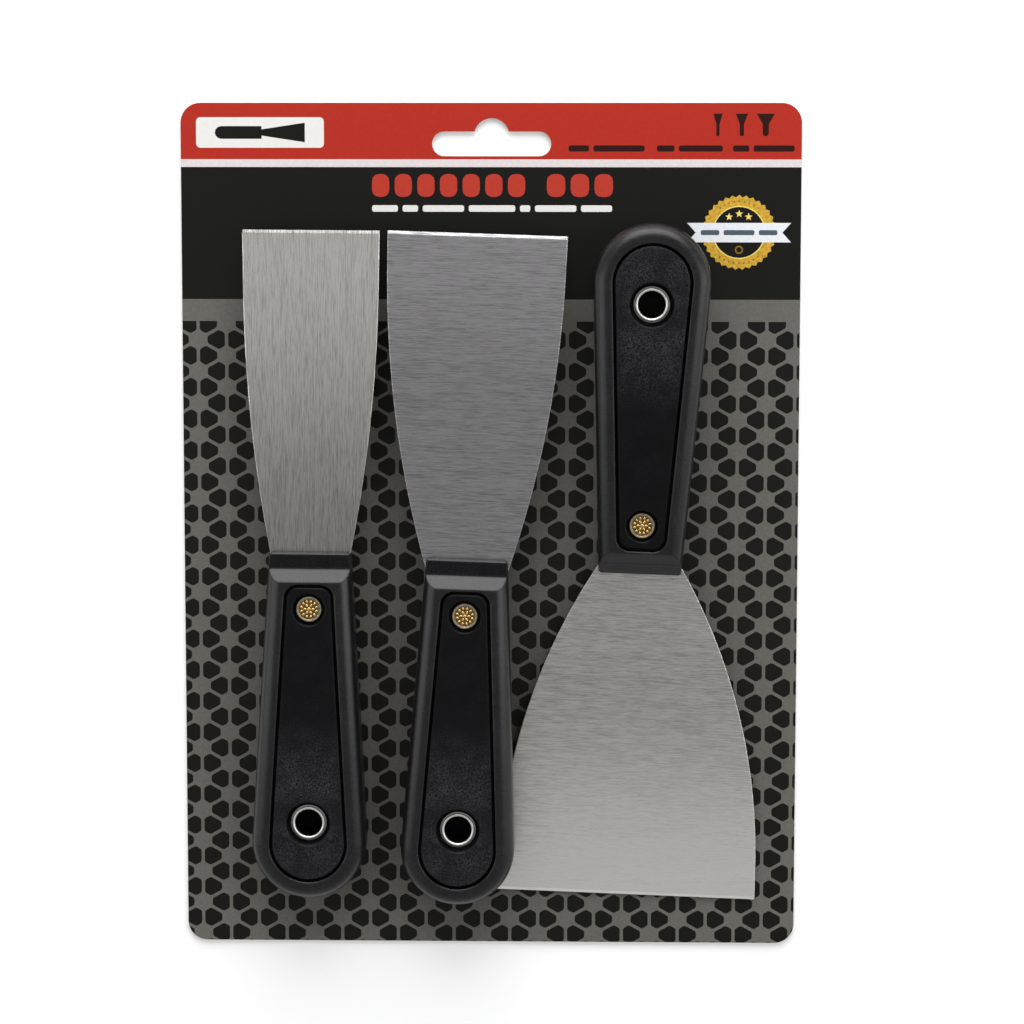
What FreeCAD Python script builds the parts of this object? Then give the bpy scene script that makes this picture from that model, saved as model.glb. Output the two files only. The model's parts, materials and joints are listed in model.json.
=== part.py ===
"""Set of three filling knives on a printed hanging card.

Frame: origin at the centre of the card's back face, +Z out of the card towards the tools,
+Y towards the hang slot, +X to the right when the printed side is looked at.

Each knife is drawn in its own frame and then laid on the card by its Placement:
origin in the middle of the handle's lip at its full length, halfway through the blade,
+Y along the blade towards its edge, +Z out of the front half of the handle.
"""
import FreeCAD, Part
import math
import os
import Sketcher

SIZES = ("small", "medium", "large")

# Driving dimensions, in millimetres and degrees.
DIMENSIONS = {
    # hanging card
    "card_width": 172.0,
    "card_height": 236.3,
    "card_thickness": 0.8,
    "card_corner": 5.5,
    "slot_width": 33.0,
    "slot_height": 6.8,
    "slot_centre_x": 0.3,
    "slot_centre_y": 106.9,
    "slot_notch_radius": 4.9,
    "slot_notch_rise": 2.15,
    # blade, the same steel for every width
    "blade_thickness": 0.8,
    "bevel_length": 0.9,
    "bevel_drop": 0.3,
    "flank_length": 12.0,
    "neck_depth": 4.0,
    "tang_half_width": 7.0,
    "tang_shoulder": 9.0,
    "tang_length": 52.0,
    "peg_position": 44.0,
    "peg_radius": 2.0,
    # handle outline
    "butt_centre": 81.1,
    "butt_radius": 15.8,
    "lip_half_width": 11.25,
    "lip_corner": 1.4,
    "lip_draft": 0.15,
    # handle thickness, measured from the middle of the blade
    "lip_half_height": 3.2,
    "lip_round": 0.9,
    "lip_flat": 3.8,
    "cove_radius": 2.0,
    "cove_slope": 38.0,
    "cove_reach": 5.0,
    "neck_half_height": 5.3,
    "crown_radius": 900.0,
    "tail_half_height": 6.6,
    "rim_start": 9.0,
    "rim_round": 3.8,
    "moulding_height": 9.0,
    # inlay panel and the groove round it
    "panel_top": 8.6,
    "panel_half_width": 6.7,
    "panel_corner": 3.9,
    "panel_radius": 10.85,
    "panel_floor": 4.4,
    "groove_width": 0.85,
    "groove_at_side": 0.8,
    "panel_height": 5.0,
    "panel_bevel": 0.3,
    # hollows behind the mating faces of the handle halves
    "tang_clearance": 0.05,
    "core_depth": 3.1,
    "core_half_width": 5.6,
    "core_start": 54.0,
    "core_end": 66.0,
    "peg_gap": 0.5,
    # rivet through the neck
    "rivet_position": 15.5,
    "rivet_head_radius": 3.55,
    "rivet_head_height": 0.8,
    "rivet_dish_depth": 0.25,
    "rivet_dish_edge": 0.65,
    "rivet_rim_inner": 0.45,
    "rivet_rim_chamfer": 0.15,
    "rivet_seat_radius": 4.4,
    "rivet_post_radius": 2.0,
    "rivet_shank_radius": 1.2,
    "rivet_clearance": 0.1,
    "rivet_bore_gap": 0.3,
    # hanging eyelet through the butt
    "eyelet_position": 75.4,
    "eyelet_bore": 3.75,
    "eyelet_wall": 0.4,
    "eyelet_flange": 4.97,
    "eyelet_roll": 0.45,
    "eyelet_roll_height": 0.5,
    "eyelet_step": 0.35,
    "eyelet_brim": 0.25,
    "eyelet_flare": 0.75,
    "eyelet_flare_edge": 0.3,
    "eyelet_flare_bore": 0.4,
    "eyelet_flare_height": 0.6,
    "eyelet_recess": 6.05,
    "eyelet_clearance": 0.1,
    "washer_thickness": 0.5,
    "washer_gap": 0.3,
    # foam pads under the handles
    "pad_half_width": 9.0,
    "pad_length": 16.0,
    "pad_gap": 0.1,
    "crown_depth": 7.45,
    # how far cutting sketches reach past what they cut
    "overshoot": 2.0,
    "cutter_height": 14.0,
}

# Dimensions that differ from knife to knife: reach is the blade outside the handle, edge and
# flank its widths, side the radius of its long edges, scale the size of the handle, trim what
# its lip is short of full length, x, y the place of the eyelet on the card, turn about +Z,
# dip of the blade's edge towards the card, lift of the handle's middle.
KNIFE_DIMENSIONS = {
    "small": dict(reach=88.7, edge=37.8, flank=37.4, neck=20.9, side=415.0, scale=1.0, trim=0.0,
                  x=-50.15, y=-81.0, turn=-0.4, dip=0.0, lift=11.0, pad_near=34.0, pad_far=66.0),
    "medium": dict(reach=89.7, edge=49.5, flank=49.0, neck=22.4, side=298.0, scale=1.0,
                   trim=0.0, x=-8.6, y=-82.8, turn=-1.87, dip=0.0, lift=11.0,
                   pad_near=34.0, pad_far=66.0),
    "large": dict(reach=90.7, edge=73.0, flank=72.4, neck=22.8, side=170.0, scale=1.02,
                  trim=1.8, x=44.45, y=63.2, turn=177.9, dip=3.05, lift=6.45,
                  pad_near=52.0, pad_far=78.0),
}

doc = FreeCAD.newDocument("filling_knives")
sheet = doc.addObject("Spreadsheet::Sheet", "dims")


def fill_sheet():
    """Every driving dimension becomes one named cell."""
    rows = dict(DIMENSIONS)
    for size in SIZES:
        for key, number in KNIFE_DIMENSIONS[size].items():
            rows[f"{key}_{size}"] = number
    for row, (alias, number) in enumerate(rows.items(), start=1):
        sheet.set(f"A{row}", alias)
        sheet.set(f"B{row}", str(number))
        sheet.setAlias(f"B{row}", alias)
    doc.recompute()


def value(expression):
    """The number that an expression on the sheet has now."""
    return float(sheet.evalExpression(str(expression)))


# ---------------------------------------------------------------- sketch helpers

def plane(body, role):
    return next(item for item in body.Origin.OriginFeatures if item.Role == role)


def new_body(label):
    body = doc.addObject("PartDesign::Body", label)
    body.Label = label
    return body


def new_sketch(body, name, role="XY_Plane", height="0"):
    """A sketch on one of the body's own planes, raised by height along the plane's normal."""
    sketch = body.newObject("Sketcher::SketchObject", f"{body.Name}_{name}")
    sketch.AttachmentSupport = (plane(body, role), [""])
    sketch.MapMode = "FlatFace"
    sketch.AttachmentOffset = FreeCAD.Placement(
        FreeCAD.Vector(0, 0, value(height)), FreeCAD.Rotation())
    sketch.setExpression("AttachmentOffset.Base.z", f"{height} * 1 mm")
    return sketch


def bind(sketch, constraint, expression):
    """Adds a constraint whose number comes from the sheet."""
    index = sketch.addConstraint(constraint)
    sketch.setExpression(f"Constraints[{index}]", str(expression))


def pin_point(sketch, geometry, position, x, y):
    bind(sketch, Sketcher.Constraint("DistanceX", geometry, position, value(x)), x)
    bind(sketch, Sketcher.Constraint("DistanceY", geometry, position, value(y)), y)


def arc_between(start, end, radius, side):
    """Arc of a circle from start to end; side +1 bulges to the right of the way there."""
    chord = end - start
    half = chord.Length / 2
    away = FreeCAD.Vector(chord.y, -chord.x, 0).normalize() * side
    rise = radius - math.sqrt(radius ** 2 - half ** 2)
    return Part.Arc(start, start + chord / 2 + away * rise, end)


def draw_outline(sketch, corners):
    """Closed outline: each corner is (x, y), or (x, y, radius, side) where the edge that
    leads on from it is an arc."""
    spots = [FreeCAD.Vector(value(corner[0]), value(corner[1]), 0) for corner in corners]
    edges = []
    for index, corner in enumerate(corners):
        start, end = spots[index], spots[(index + 1) % len(spots)]
        if len(corner) == 2:
            edges.append((sketch.addGeometry(Part.LineSegment(start, end)), 1, 2))
            continue
        arc = arc_between(start, end, value(corner[2]), corner[3])
        geometry = sketch.addGeometry(arc)
        first = sketch.getPoint(geometry, 1)
        ends = (1, 2) if first.distanceToPoint(start) < 1e-4 else (2, 1)
        edges.append((geometry, *ends))
    for index, (geometry, start, _) in enumerate(edges):
        before, _, end = edges[index - 1]
        sketch.addConstraint(Sketcher.Constraint("Coincident", before, end, geometry, start))
        pin_point(sketch, geometry, start, corners[index][0], corners[index][1])
    for (geometry, _, _), corner in zip(edges, corners):
        if len(corner) > 2:
            bind(sketch, Sketcher.Constraint("Radius", geometry, value(corner[2])), corner[2])


def draw_circle(sketch, x, y, radius):
    centre = FreeCAD.Vector(value(x), value(y), 0)
    circle = Part.Circle(centre, FreeCAD.Vector(0, 0, 1), value(radius))
    geometry = sketch.addGeometry(circle)
    bind(sketch, Sketcher.Constraint("Radius", geometry, value(radius)), radius)
    pin_point(sketch, geometry, 3, x, y)


def draw_tapered(sketch, top, half_width, corner, centre, radius):
    """Handle outline: straight top, corners rounded or, with None, sharp, and sides that run
    tangent into a round butt. half_width is where the sides would meet the top, and centre
    is how far the butt's centre lies below the origin."""
    top_y, half, corner_r = value(top), value(half_width), value(corner or 0)
    centre_y, butt_r = -value(centre), value(radius)
    reach = top_y - centre_y
    lean = math.atan2(reach, half) - math.acos(butt_r / math.hypot(half, reach))
    offset = butt_r + centre_y * math.sin(lean)
    corner_y = top_y - corner_r
    corner_x = (offset - corner_r - corner_y * math.sin(lean)) / math.cos(lean)
    vector = FreeCAD.Vector
    up = vector(0, 0, 1)

    def circle_point(x, y, r, angle):
        return vector(x + r * math.cos(angle), y + r * math.sin(angle), 0)

    side_top = circle_point(corner_x, corner_y, corner_r, lean)
    side_low = circle_point(0, centre_y, butt_r, lean)
    add = sketch.addGeometry
    top_line = add(Part.LineSegment(vector(-corner_x, top_y, 0), vector(corner_x, top_y, 0)))
    right_side = add(Part.LineSegment(side_top, side_low))
    butt = add(Part.ArcOfCircle(
        Part.Circle(vector(0, centre_y, 0), up, butt_r), math.pi - lean, 2 * math.pi + lean))
    left_side = add(Part.LineSegment(
        vector(-side_low.x, side_low.y, 0), vector(-side_top.x, side_top.y, 0)))
    sketch.addConstraint(Sketcher.Constraint("Tangent", right_side, 2, butt, 2))
    sketch.addConstraint(Sketcher.Constraint("Tangent", butt, 1, left_side, 1))
    bind(sketch, Sketcher.Constraint("Radius", butt, butt_r), radius)
    pin_point(sketch, butt, 3, "0", f"-({centre})")
    if corner is None:
        sketch.addConstraint(Sketcher.Constraint("Coincident", top_line, 2, right_side, 1))
        sketch.addConstraint(Sketcher.Constraint("Coincident", top_line, 1, left_side, 2))
        pin_point(sketch, top_line, 1, f"-({half_width})", top)
        pin_point(sketch, top_line, 2, half_width, top)
        return
    right_corner = add(Part.ArcOfCircle(
        Part.Circle(vector(corner_x, corner_y, 0), up, corner_r), lean, math.pi / 2))
    left_corner = add(Part.ArcOfCircle(
        Part.Circle(vector(-corner_x, corner_y, 0), up, corner_r), math.pi / 2, math.pi - lean))
    for joint in ((top_line, 2, right_corner, 2), (right_corner, 1, right_side, 1),
                  (left_side, 2, left_corner, 2), (left_corner, 1, top_line, 1)):
        sketch.addConstraint(Sketcher.Constraint("Tangent", *joint))
    sketch.addConstraint(Sketcher.Constraint("Horizontal", top_line))
    sketch.addConstraint(Sketcher.Constraint("Equal", right_corner, left_corner))
    bind(sketch, Sketcher.Constraint("Radius", right_corner, corner_r), corner)
    for sign, side in ((1, right_side), (-1, left_side)):
        sharp = add(Part.Point(vector(sign * half, top_y, 0)), True)
        pin_point(sketch, sharp, 1, f"{sign} * ({half_width})", top)
        sketch.addConstraint(Sketcher.Constraint("PointOnObject", sharp, 1, side))
    bind(sketch, Sketcher.Constraint("DistanceY", top_line, 1, top_y), top)


# ---------------------------------------------------------------- feature helpers

def pad(body, name, sketch, length, midplane=False, downwards=False):
    feature = body.newObject("PartDesign::Pad", f"{body.Name}_{name}")
    feature.Profile = sketch
    feature.setExpression("Length", str(length))
    feature.Midplane = midplane
    feature.Reversed = downwards
    finish(feature)
    return feature


def pocket(body, name, sketch, length=None, upwards=False, midplane=False):
    """Cuts the sketch out of the body, all the way where no length is given, and makes
    sure that something was cut."""
    before = body.Shape.Volume
    feature = body.newObject("PartDesign::Pocket", f"{body.Name}_{name}")
    feature.Profile = sketch
    if length is None:
        feature.Type = "ThroughAll"
    else:
        feature.setExpression("Length", str(length))
    feature.Midplane = midplane
    feature.Reversed = upwards
    finish(feature)
    if body.Shape.Volume > before - 1e-3:
        raise RuntimeError(f"{feature.Name} cut nothing")
    return feature


def dress(body, kind, name, edges, size_property, size):
    """A fillet or chamfer along the edges that the test picks."""
    base = body.Tip
    names = [f"Edge{number}" for number, edge in enumerate(base.Shape.Edges, start=1)
             if edges(edge.CenterOfMass, edge)]
    if not names:
        raise RuntimeError(f"{body.Name}_{name} has no edges")
    feature = body.newObject(kind, f"{body.Name}_{name}")
    feature.Base = (base, names)
    feature.setExpression(size_property, str(size))
    finish(feature)
    return feature


def revolve(body, name, sketch):
    feature = body.newObject("PartDesign::Revolution", f"{body.Name}_{name}")
    feature.Profile = sketch
    feature.ReferenceAxis = (sketch, ["V_Axis"])
    feature.Angle = 360
    finish(feature)
    return feature


def finish(feature):
    """Recomputes and stops on the first feature that fails."""
    doc.recompute()
    if "Invalid" in feature.State or "Error" in feature.State or feature.Shape.isNull():
        raise RuntimeError(f"{feature.Name} failed: {feature.State}")
    for sketch in [item for item in doc.Objects if item.TypeId == "Sketcher::SketchObject"]:
        sketch.Visibility = False


# ---------------------------------------------------------------- the hanging card

def make_card():
    body = new_body("backing_card")
    outline = new_sketch(body, "outline")
    half_w, half_h = "dims.card_width / 2", "dims.card_height / 2"
    draw_outline(outline, [(f"-{half_w}", f"-{half_h}"), (half_w, f"-{half_h}"),
                           (half_w, half_h), (f"-{half_w}", half_h)])
    pad(body, "board", outline, "dims.card_thickness")
    dress(body, "PartDesign::Fillet", "corners",
          lambda centre, edge: edge.BoundBox.ZLength > 0.5, "Radius", "dims.card_corner")
    slot = new_sketch(body, "slot")
    end = "(dims.slot_width - dims.slot_height) / 2"
    low = "dims.slot_centre_y - dims.slot_height / 2"
    high = "dims.slot_centre_y + dims.slot_height / 2"
    right, left = f"dims.slot_centre_x + {end}", f"dims.slot_centre_x - {end}"
    # A hair over half the height keeps each rounded end a little less than a half circle.
    end_radius = "dims.slot_height / 2 + 0.001"
    draw_outline(slot, [(left, low), (right, low, end_radius, 1), (right, high),
                        (left, high, end_radius, 1)])
    pocket(body, "hang_slot", slot, upwards=True)
    notch = new_sketch(body, "notch")
    draw_circle(notch, "dims.slot_centre_x", "dims.slot_centre_y + dims.slot_notch_rise",
                "dims.slot_notch_radius")
    pocket(body, "hang_notch", notch, upwards=True)
    return body


# ---------------------------------------------------------------- one knife

class Knife:
    """Names the cells of one knife, so that each piece is drawn the same way for all."""

    def __init__(self, size):
        self.size = size

    def own(self, key):
        """A cell that this knife doesn't share."""
        return f"dims.{key}_{self.size}"

    def along(self, key):
        """A shared cell of the handle's outline, at this knife's handle size."""
        return f"(dims.{key} * dims.scale_{self.size})"

    def body(self, name):
        return new_body(f"{name}_{self.size}")

    def blade_outline(self, sketch, clearance="0"):
        """Edge, straight flanks, long convex sides, shoulders and tang."""
        half = {key: f"({self.own(key)} / 2 + {clearance})" for key in ("edge", "flank", "neck")}
        tip = self.own("reach")
        flank = f"({self.own('reach')} - dims.flank_length)"
        tang = f"(dims.tang_half_width + {clearance})"
        tang_end = f"-(dims.tang_length + {clearance})"
        draw_outline(sketch, [
            (f"-{half['edge']}", tip), (half["edge"], tip),
            (half["flank"], flank, self.own("side"), -1),
            (half["neck"], "-dims.neck_depth"), (tang, "-dims.tang_shoulder"), (tang, tang_end),
            (f"-{tang}", tang_end), (f"-{tang}", "-dims.tang_shoulder"),
            (f"-{half['neck']}", "-dims.neck_depth", self.own("side"), -1),
            (f"-{half['flank']}", flank)])

    def make_blade(self):
        body = self.body("blade")
        outline = new_sketch(body, "outline")
        self.blade_outline(outline)
        draw_circle(outline, "0", f"-{self.along('rivet_position')}",
                    "dims.rivet_post_radius + dims.rivet_clearance")
        draw_circle(outline, "0", "-dims.peg_position",
                    "dims.peg_radius + dims.rivet_clearance")
        pad(body, "sheet", outline, "dims.blade_thickness", midplane=True)
        bevel = new_sketch(body, "bevel", "YZ_Plane")
        top = "dims.blade_thickness / 2"
        tip = self.own("reach")
        past_tip = f"({tip} + dims.bevel_length)"
        draw_outline(bevel, [(f"{tip} - dims.bevel_length", top),
                             (past_tip, f"{top} - 2 * dims.bevel_drop"), (past_tip, top)])
        pocket(body, "ground_bevel", bevel, midplane=True)
        return body

    def crown(self, sketch, sign):
        """What lies outside the handle's long crowned top, seen from the side."""
        end = f"({self.along('butt_centre')} + {self.along('butt_radius')})"
        tail, above = f"-({end} + dims.overshoot)", f"{sign} * dims.cutter_height"
        draw_outline(sketch, [
            ("dims.overshoot", f"{sign} * dims.neck_half_height", "dims.crown_radius", sign),
            (tail, f"{sign} * dims.tail_half_height"), (tail, above), ("dims.overshoot", above)])

    def rivet_and_eyelet(self, sketch, rivet_radius, eyelet_radius):
        draw_circle(sketch, "0", f"-{self.along('rivet_position')}", rivet_radius)
        draw_circle(sketch, "0", f"-{self.along('eyelet_position')}", eyelet_radius)

    def round_lip(self, body):
        """Rounds the two corners of the lip, seen from the front."""
        radius, end = "dims.lip_corner", f"-{self.own('trim')}"
        corners = new_sketch(body, "lip_corners")
        past, low = f"({end} + dims.overshoot)", f"({end} - {radius})"
        for side in (1, -1):
            wall = f"{side} * ({self.along('lip_half_width')} + dims.lip_draft)"
            inner, outer = f"({wall} - {side} * {radius})", f"({wall} + {side} * dims.overshoot)"
            draw_outline(corners, [(inner, end), (inner, past), (outer, past),
                                   (outer, low), (wall, low, radius, side)])
        pocket(body, "rounded_lip", corners, midplane=True)

    def neck_profile(self, sketch, sign):
        """What lies outside the lip, seen from the side: rounded end, flat, cove and slope."""
        lip, end = f"{sign} * dims.lip_half_height", f"-{self.own('trim')}"
        above, slope = f"{sign} * dims.cutter_height", "(dims.cove_slope * 1 deg)"
        shoulder = f"({lip} - {sign} * dims.lip_round)"
        cove_y = f"-(dims.lip_flat + dims.cove_radius * sin({slope}))"
        cove_z = f"({lip} + {sign} * dims.cove_radius * (1 - cos({slope})))"
        slope_y = f"({cove_y} - dims.cove_reach * cos({slope}))"
        draw_outline(sketch, [
            ("dims.overshoot", shoulder), (end, shoulder, "dims.lip_round", sign),
            (f"({end} - dims.lip_round)", lip), ("-dims.lip_flat", lip, "dims.cove_radius", -sign),
            (cove_y, cove_z), (slope_y, f"({cove_z} + {sign} * dims.cove_reach * sin({slope}))"),
            (slope_y, above), ("dims.overshoot", above)])

    def make_shell(self, sign, name):
        """Front half for sign +1, back half for -1: the same moulding turned over."""
        body = self.body(name)
        front = sign > 0
        outline = new_sketch(body, "outline")
        draw_tapered(outline, f"-{self.own('trim')}", self.along("lip_half_width"), None,
                     self.along("butt_centre"), self.along("butt_radius"))
        pad(body, "block", outline, "dims.moulding_height", downwards=not front)
        crown = new_sketch(body, "crown", "YZ_Plane")
        self.crown(crown, sign)
        pocket(body, "crowned_top", crown, midplane=True)
        floor, rim_start = value("dims.panel_floor"), value("-dims.rim_start")
        dress(body, "PartDesign::Fillet", "rounded_rim",
              lambda centre, edge: sign * centre.z > floor and centre.y < rim_start,
              "Radius", "dims.rim_round")
        neck = new_sketch(body, "neck", "YZ_Plane")
        self.neck_profile(neck, sign)
        pocket(body, "cove", neck, midplane=True)
        self.round_lip(body)
        seat = new_sketch(body, "seat", height=f"{sign} * dims.panel_floor")
        draw_tapered(seat, "-dims.panel_top", self.along("panel_half_width"),
                     "dims.panel_corner", self.along("butt_centre"), self.along("panel_radius"))
        pocket(body, "panel_seat", seat, upwards=front)
        tang = new_sketch(body, "tang")
        self.blade_outline(tang, "dims.tang_clearance")
        pocket(body, "tang_pocket", tang, "dims.blade_thickness / 2 + dims.tang_clearance",
               upwards=front)
        core = new_sketch(body, "core")
        rib = "dims.core_half_width"
        draw_outline(core, [(f"-{rib}", "-dims.core_end"), (rib, "-dims.core_end"),
                            (rib, "-dims.core_start"), (f"-{rib}", "-dims.core_start")])
        pocket(body, "cored_middle", core, "dims.core_depth", upwards=front)
        holes = new_sketch(body, "holes", height=f"{sign} * -1")
        self.rivet_and_eyelet(holes, "dims.rivet_post_radius + dims.rivet_clearance",
                              "dims.eyelet_bore + dims.eyelet_wall + dims.eyelet_clearance")
        pocket(body, "rivet_and_eyelet_holes", holes, upwards=front)
        return body

    def add_peg(self, back, front):
        """A peg on the back half goes through the tang into a socket in the front half."""
        peg = new_sketch(back, "peg", height="-dims.core_depth")
        draw_circle(peg, "0", "-dims.peg_position", "dims.peg_radius")
        pad(back, "locating_peg", peg, "2 * dims.core_depth - dims.peg_gap")
        socket = new_sketch(front, "socket")
        draw_circle(socket, "0", "-dims.peg_position", "dims.peg_radius + dims.rivet_clearance")
        pocket(front, "peg_socket", socket, "dims.core_depth", upwards=True)

    def make_panel(self, sign, name):
        """Inlay that fills the seat but for the groove round it, and lies flush."""
        body = self.body(name)
        outline = new_sketch(body, "outline", height=f"{sign} * dims.panel_floor")
        groove = "dims.groove_width"
        draw_tapered(outline, f"-(dims.panel_top + {groove})",
                     f"({self.along('panel_half_width')} - dims.groove_at_side)",
                     f"(dims.panel_corner - {groove})", self.along("butt_centre"),
                     f"({self.along('panel_radius')} - {groove})")
        pad(body, "block", outline, "dims.panel_height", downwards=sign < 0)
        crown = new_sketch(body, "crown", "YZ_Plane")
        self.crown(crown, sign)
        pocket(body, "crowned_top", crown, midplane=True)
        holes = new_sketch(body, "holes", height=f"{sign} * (dims.panel_floor - dims.overshoot)")
        self.rivet_and_eyelet(holes, "dims.rivet_seat_radius", "dims.eyelet_recess")
        pocket(body, "rivet_and_eyelet_recesses", holes, upwards=sign > 0)
        bevel = value("dims.panel_bevel")
        above_floor = value("dims.panel_floor") + bevel
        dress(body, "PartDesign::Chamfer", "bevelled_edges",
              lambda centre, edge: sign * centre.z > above_floor
              and max(edge.BoundBox.XLength, edge.BoundBox.YLength) > bevel / 2,
              "Size", "dims.panel_bevel")
        return body

    def head_profile(self, sign):
        """Rivet head from its centre out to its underside: a shallow dish in a raised rim."""
        seat, radius = "dims.panel_floor", "dims.rivet_head_radius"
        top = f"({seat} + dims.rivet_head_height)"
        dish = f"{sign} * ({top} - dims.rivet_dish_depth)"
        chamfer = "dims.rivet_rim_chamfer"
        return [("0", dish), (f"{radius} - dims.rivet_dish_edge", dish),
                (f"{radius} - dims.rivet_rim_inner", f"{sign} * {top}"),
                (f"{radius} - {chamfer}", f"{sign} * {top}"),
                (radius, f"{sign} * ({top} - {chamfer})"), (radius, f"{sign} * {seat}")]

    def make_rivet(self):
        """Cap with a shank from the front, post with a barrel from the back."""
        cap = self.body("rivet_cap")
        section = new_sketch(cap, "section", "XZ_Plane", self.along("rivet_position"))
        draw_outline(section, self.head_profile(1) + [
            ("dims.rivet_shank_radius", "dims.panel_floor"),
            ("dims.rivet_shank_radius", "-dims.core_depth"), ("0", "-dims.core_depth")])
        revolve(cap, "turned", section)
        post = self.body("rivet_post")
        section = new_sketch(post, "section", "XZ_Plane", self.along("rivet_position"))
        barrel_top = "dims.panel_floor - dims.rivet_clearance"
        bore = "dims.rivet_shank_radius + dims.rivet_clearance"
        bore_floor = "-(dims.core_depth + dims.rivet_bore_gap)"
        draw_outline(section, self.head_profile(-1) + [
            ("dims.rivet_post_radius", "-dims.panel_floor"),
            ("dims.rivet_post_radius", barrel_top), (bore, barrel_top),
            (bore, bore_floor), ("0", bore_floor)])
        revolve(post, "turned", section)
        return cap, post

    def make_eyelet(self):
        """Tube with a rolled rim and flange in front, flared over a washer behind."""
        eyelet = self.body("eyelet")
        section = new_sketch(eyelet, "section", "XZ_Plane", self.along("eyelet_position"))
        bore, flange, seat = "dims.eyelet_bore", "dims.eyelet_flange", "dims.panel_floor"
        tube = "(dims.eyelet_bore + dims.eyelet_wall)"
        roll, start = "dims.eyelet_roll", f"{seat} + dims.eyelet_roll_height"
        # A hair under twice the radius keeps the roll a little less than a half circle.
        crest = f"({bore} + 2 * {roll} - 0.01)"
        behind = f"-({seat} + dims.washer_thickness)"
        flare = f"({tube} + dims.eyelet_flare)"
        draw_outline(section, [
            (bore, start, roll, -1), (crest, start), (crest, f"{seat} + dims.eyelet_step"),
            (flange, f"{seat} + dims.eyelet_brim"), (flange, seat),
            (tube, seat), (tube, behind), (flare, behind),
            (flare, f"{behind} - dims.eyelet_flare_edge"),
            (f"{bore} + dims.eyelet_flare_bore", f"{behind} - dims.eyelet_flare_height"),
            (bore, f"{behind} - dims.eyelet_flare_bore")])
        revolve(eyelet, "drawn", section)
        washer = self.body("eyelet_washer")
        ring = new_sketch(washer, "ring", height="-dims.panel_floor")
        place = f"-{self.along('eyelet_position')}"
        draw_circle(ring, "0", place, "dims.eyelet_recess - dims.washer_gap")
        draw_circle(ring, "0", place, f"{tube} + dims.eyelet_clearance")
        pad(washer, "stamping", ring, "dims.washer_thickness", downwards=True)
        return eyelet, washer

    def make_adhesive_pads(self):
        """Two foam pads between the card and the handle, cut to the handle's slope."""
        body = self.body("adhesive_pads")
        body.AllowCompound = True
        dip, lift = f"({self.own('dip')} * 1 deg)", self.own("lift")
        for name in ("pad_near", "pad_far"):
            section = new_sketch(body, name, "YZ_Plane")
            near = f"-{self.own(name)}"
            far = f"({near} - dims.pad_length)"
            top = "-(dims.crown_depth + dims.pad_gap)"

            def card_under(y):
                return f"(dims.card_thickness - {lift} + {y} * sin({dip})) / cos({dip})"

            draw_outline(section, [(near, card_under(near)), (near, top),
                                   (far, top), (far, card_under(far))])
            pad(body, f"{name}_foam", section, "2 * dims.pad_half_width", midplane=True)
        return body

    def placement(self):
        """Lays the knife on the card: the eyelet's centre comes to the cells x and y."""
        turn, dip, lift, x, y = (value(self.own(key)) for key in ("turn", "dip", "lift", "x", "y"))
        rotation = FreeCAD.Rotation(FreeCAD.Vector(0, 0, 1), turn).multiply(
            FreeCAD.Rotation(FreeCAD.Vector(1, 0, 0), -dip))
        eyelet = rotation.multVec(FreeCAD.Vector(0, -value(self.along("eyelet_position")), 0))
        return FreeCAD.Placement(FreeCAD.Vector(x - eyelet.x, y - eyelet.y, lift), rotation)

    def make(self):
        front = self.make_shell(1, "front_shell")
        back = self.make_shell(-1, "back_shell")
        self.add_peg(back, front)
        pieces = [self.make_blade(), front, back, self.make_panel(1, "front_panel"),
                  self.make_panel(-1, "back_panel"), *self.make_rivet(), *self.make_eyelet(),
                  self.make_adhesive_pads()]
        for piece in pieces:
            piece.Placement = self.placement()
        return pieces


def check_document():
    """Stops if any object failed, which a recompute alone doesn't report."""
    doc.recompute()
    for item in doc.Objects:
        if "Invalid" in item.State or "Error" in item.State:
            raise RuntimeError(f"{item.Name} is {item.State}")


def export(bodies):
    os.makedirs("parts", exist_ok=True)
    for body in bodies:
        shape = body.Shape
        if shape.isNull() or not shape.isValid() or not shape.Solids:
            raise RuntimeError(f"{body.Label} has no valid solid")
        shape.exportStep(f"parts/{body.Label}.step")


fill_sheet()
bodies = [make_card()]
for size in SIZES:
    bodies += Knife(size).make()
check_document()
export(bodies)
print(len(bodies), "nodes")
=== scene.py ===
"""Looks of a set of three filling knives on a printed hanging card.

Every length is in metres unless its name ends in _mm. The frame is the card's: it lies flat
with its printed side up, and +Y points to the hang slot.
"""
import json
import math

import bmesh
import bpy
from bpy.props import FloatProperty, FloatVectorProperty, IntProperty, PointerProperty
from mathutils import Matrix, Vector
from mathutils.geometry import delaunay_2d_cdt


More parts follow.
